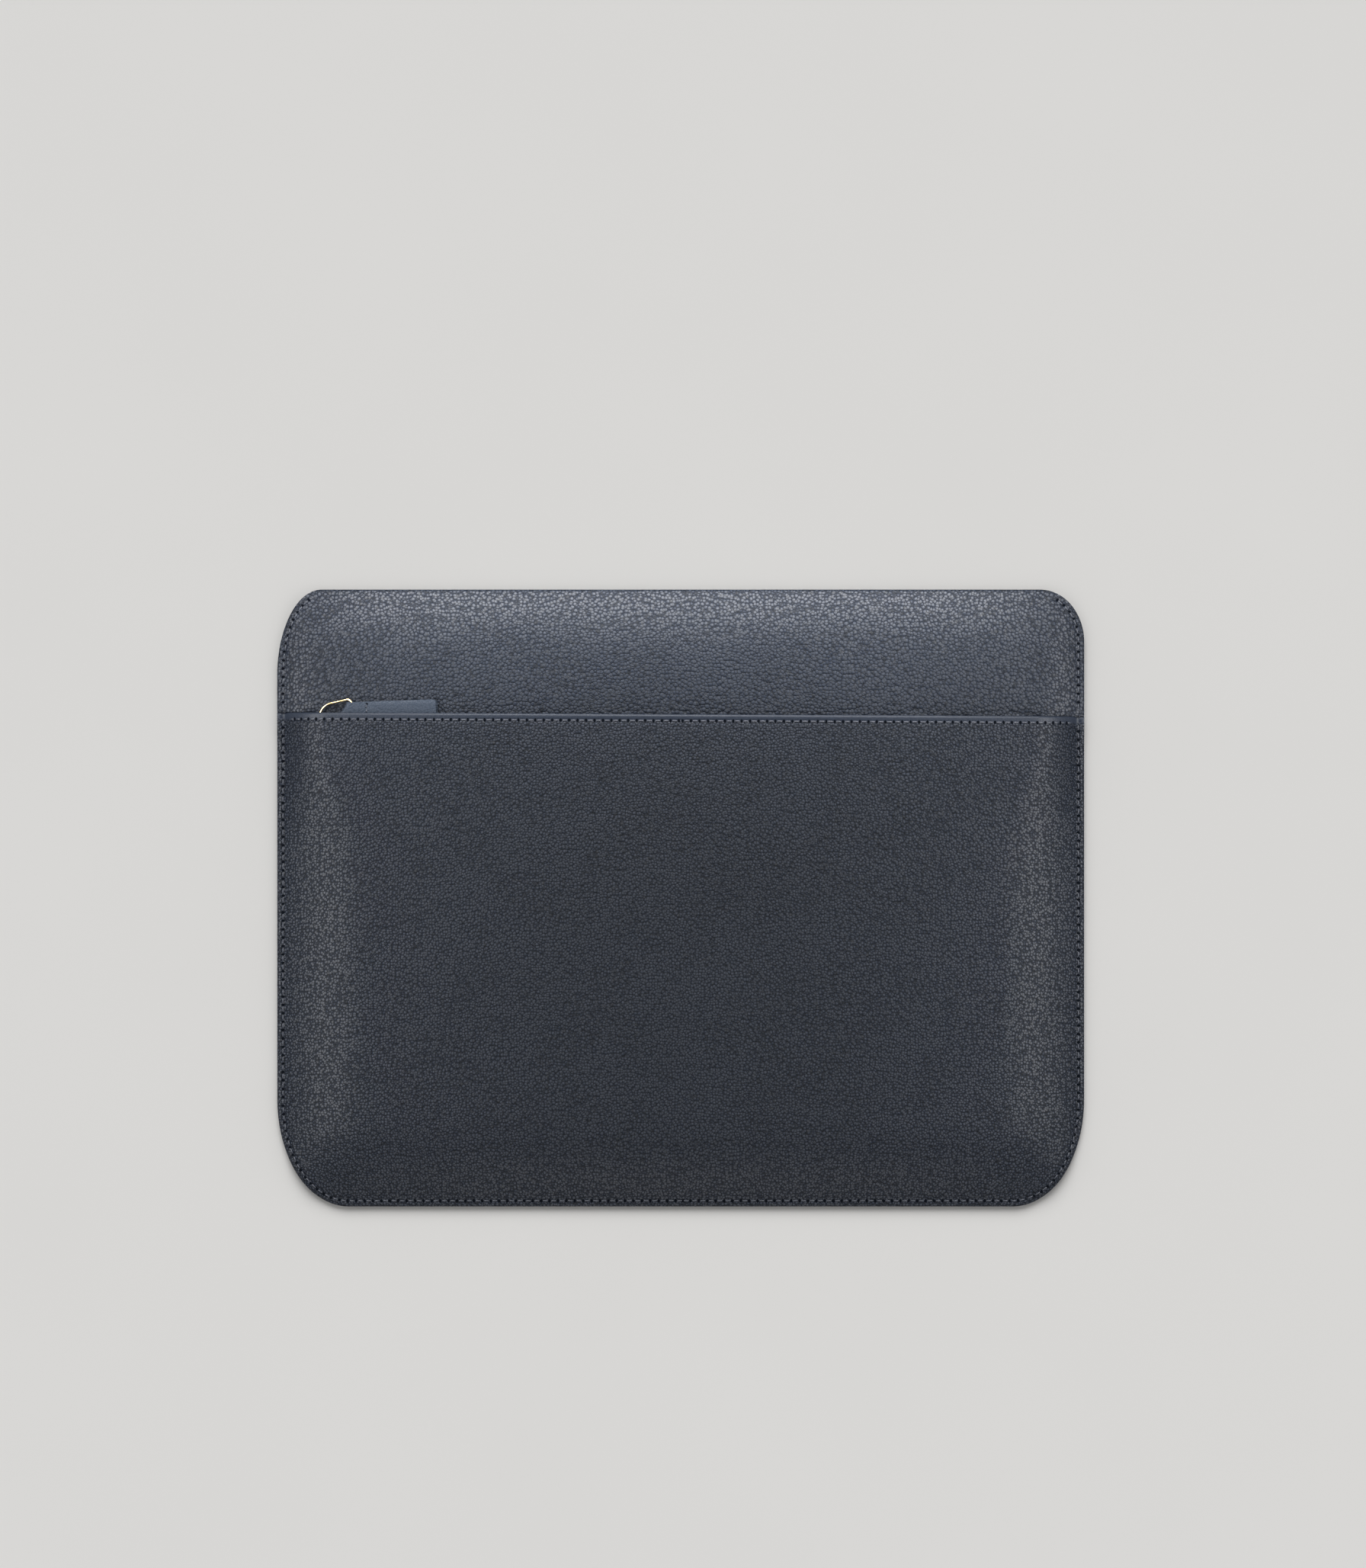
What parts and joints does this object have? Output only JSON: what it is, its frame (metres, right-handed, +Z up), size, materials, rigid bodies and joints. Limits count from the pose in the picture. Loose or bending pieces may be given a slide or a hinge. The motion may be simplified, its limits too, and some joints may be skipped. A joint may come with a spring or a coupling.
{
  "type": "zip-up leather tablet sleeve",
  "caption": "Slim padded leather sleeve for a tablet, with a zip hidden behind a sewn lip and a leather pull tab.",
  "frame": {"origin": "centre of the footprint, on the surface that the back rests on", "axes": "+X along the width, +Y from the bottom seam to the top fold, +Z up out of the front"},
  "size_m": [0.34, 0.26, 0.0125],
  "materials": {
    "leather": "milled, matte",
    "facing": "smooth, matte",
    "tab_leather": "fine grain, matte",
    "lining": "fine twill",
    "foam": "closed-cell foam",
    "tape": "woven herringbone",
    "gold_metal": "pale gold, polished"
  },
  "bodies": {
    "root": {"back_panel": "leather", "back_padding": "foam", "back_lining": "lining", "hood_lining": "lining", "zip_tape_upper": "tape", "zip_teeth_upper": "gold_metal", "zip_tape_lower_start": "tape", "zip_teeth_lower_start": "gold_metal", "zip_bottom_stop": "gold_metal", "zip_top_stop_upper": "gold_metal"},
    "front": {"front_panel": "leather", "front_padding": "foam", "front_lining": "lining", "lip_facing": "facing", "zip_tape_lower": "tape", "zip_teeth_lower": "gold_metal", "zip_top_stop_lower": "gold_metal"},
    "slider": {"slider_body": "gold_metal", "slider_crown": "gold_metal"},
    "ring": {"pull_ring": "gold_metal"},
    "tab": {"pull_tab": "tab_leather"}
  },
  "joints": [
    {"name": "front_lift", "type": "hinge", "parent": "root", "child": "front", "pos_m": [0, -0.13, 0.00165], "axis": [1, 0, 0], "range_deg": [0, 6]},
    {"name": "zip_slide", "type": "slide", "parent": "root", "child": "slider", "axis": [1, 0, 0], "range_m": [0, 0.25]},
    {"name": "ring_swing", "type": "hinge", "parent": "slider", "child": "ring", "pos_m": [-0.1512, 0.0732, 0.00785], "axis": [0, 0, 1], "range_deg": [0, 40]},
    {"name": "tab_swing", "type": "hinge", "parent": "ring", "child": "tab", "pos_m": [-0.13707, 0.07646, 0.00785], "axis": [0, 0, 1], "range_deg": [-4, 20]}
  ]
}
